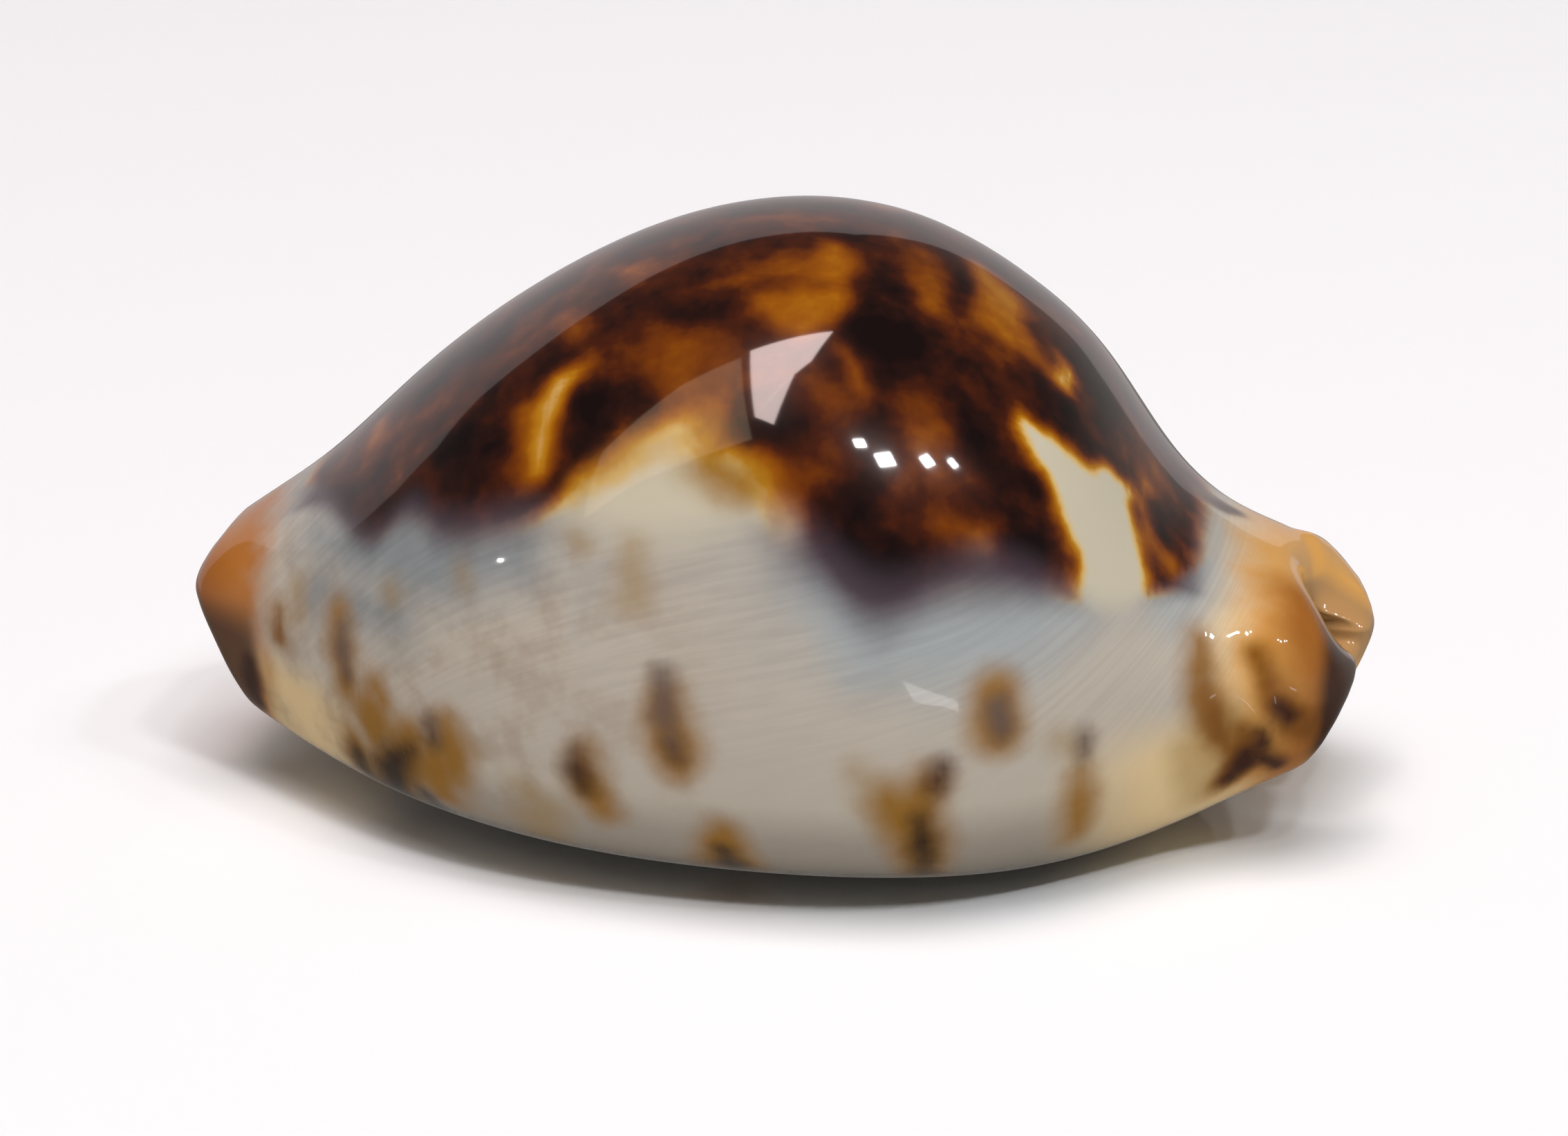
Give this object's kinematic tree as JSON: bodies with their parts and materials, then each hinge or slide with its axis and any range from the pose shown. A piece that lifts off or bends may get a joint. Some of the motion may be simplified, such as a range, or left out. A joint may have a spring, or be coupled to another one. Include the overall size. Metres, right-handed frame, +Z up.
{
  "type": "cowrie shell",
  "caption": "Humped cowrie shell, a hollow coiled wall of glossy shell with a toothed slot along its base, dark mottled above and spotted at the sides.",
  "frame": {"origin": "middle of the bounding box, at the height of the flat spot that the shell rests on", "axes": "+X along the shell towards its blunt back end, +Y towards the outer lip, +Z up"},
  "size_m": [0.0782, 0.0504, 0.0397],
  "materials": {
    "enamelled_shell": "natural high gloss enamel, dark brown mottling above, cream to blue-grey sides with purple-brown spots"
  },
  "bodies": {
    "root": {"shell": "enamelled_shell"}
  },
  "joints": []
}
